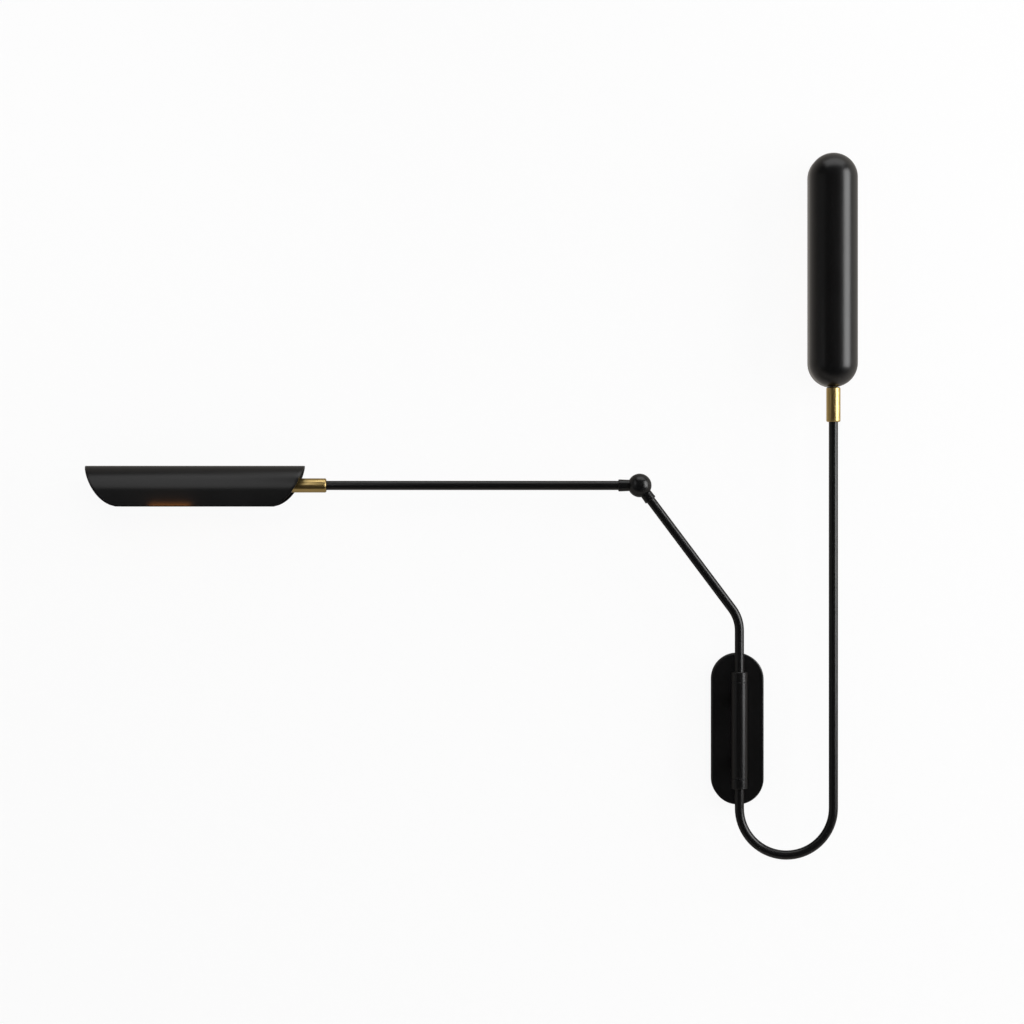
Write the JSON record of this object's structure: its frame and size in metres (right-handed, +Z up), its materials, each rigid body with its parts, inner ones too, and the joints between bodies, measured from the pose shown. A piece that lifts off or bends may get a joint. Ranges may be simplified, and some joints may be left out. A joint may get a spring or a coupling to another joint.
{
  "type": "articulating wall lamp",
  "caption": "Wall lamp with a stadium canopy, a vertical pivot barrel, a jointed arm with a rolled hood and a U-bent arm with a domed shade.",
  "frame": {"origin": "centre of the canopy's outline on the wall surface, the rear face of the wall bracket", "axes": "+Y into the wall, +Z up, +X to the right for someone who faces the wall"},
  "size_m": [1.0039, 0.0817, 0.9189],
  "materials": {
    "black_powder_coat": "satin black powder coat, fine-grained",
    "satin_brass": "turned and lacquered, satin",
    "zinc_steel": "zinc plated",
    "black_nylon": "moulded",
    "white_plastic": "moulded",
    "mill_aluminium": "extruded, plain",
    "white_circuit_board": "white solder mask",
    "light_chip": "phosphor",
    "opal_acrylic": "opal, lit warm white"
  },
  "bodies": {
    "wall_mount": {"wall_bracket": "zinc_steel", "canopy": "black_powder_coat", "canopy_screws": "zinc_steel", "led_driver": "white_plastic", "terminal_block": "white_plastic", "pivot_barrel": "black_powder_coat", "barrel_spacers": "black_powder_coat", "barrel_studs": "zinc_steel", "barrel_washers": "zinc_steel", "barrel_nuts": "zinc_steel", "upper_bush": "black_nylon", "lower_bush": "black_nylon"},
    "upper_arm": {"upper_arm_tube": "black_powder_coat", "upper_collar": "black_powder_coat", "upper_collar_screw": "zinc_steel", "upper_retaining_ring": "zinc_steel", "elbow_rear_half": "black_powder_coat"},
    "forearm": {"forearm_tube": "black_powder_coat", "elbow_front_half": "black_powder_coat", "elbow_friction_disc": "black_nylon", "elbow_spring_washer": "zinc_steel", "elbow_bolt": "zinc_steel", "left_ferrule": "satin_brass", "left_nipple": "zinc_steel", "left_swivel_washer": "zinc_steel", "left_swivel_nut": "zinc_steel"},
    "left_head": {"left_hood": "black_powder_coat", "left_carrier": "mill_aluminium", "left_led_board": "white_circuit_board", "left_led_chips": "light_chip", "left_diffuser": "opal_acrylic", "left_shade_spacers": "zinc_steel", "left_shade_nuts": "zinc_steel"},
    "lower_arm": {"lower_arm_tube": "black_powder_coat", "lower_collar": "black_powder_coat", "lower_collar_screw": "zinc_steel", "lower_retaining_ring": "zinc_steel", "right_ferrule": "satin_brass", "right_nipple": "zinc_steel", "right_swivel_washer": "zinc_steel", "right_swivel_nut": "zinc_steel"},
    "right_head": {"right_shade": "black_powder_coat", "right_seat_washer": "zinc_steel", "right_carrier": "mill_aluminium", "right_led_board": "white_circuit_board", "right_led_chips": "light_chip", "right_diffuser": "opal_acrylic", "right_shade_spacers": "zinc_steel", "right_shade_nuts": "zinc_steel"}
  },
  "joints": [
    {"name": "upper_arm_swing", "type": "hinge", "parent": "wall_mount", "child": "upper_arm", "pos_m": [0, -0.05, 0], "axis": [0, 0, 1], "range_deg": [0, 90]},
    {"name": "elbow_tilt", "type": "hinge", "parent": "upper_arm", "child": "forearm", "pos_m": [-0.1296, -0.05, 0.31853], "axis": [0, 1, 0], "range_deg": [-60, 80]},
    {"name": "left_head_roll", "type": "hinge", "parent": "forearm", "child": "left_head", "pos_m": [-0.582, -0.05, 0.31853], "axis": [1, 0, 0], "range_deg": [-90, 90]},
    {"name": "lower_arm_swing", "type": "hinge", "parent": "wall_mount", "child": "lower_arm", "pos_m": [0, -0.05, 0], "axis": [0, 0, 1], "range_deg": [-45, 0]},
    {"name": "right_head_turn", "type": "hinge", "parent": "lower_arm", "child": "right_head", "pos_m": [0.1222, -0.05, 0.4461], "axis": [0, 0, 1], "range_deg": [-150, 150]}
  ]
}
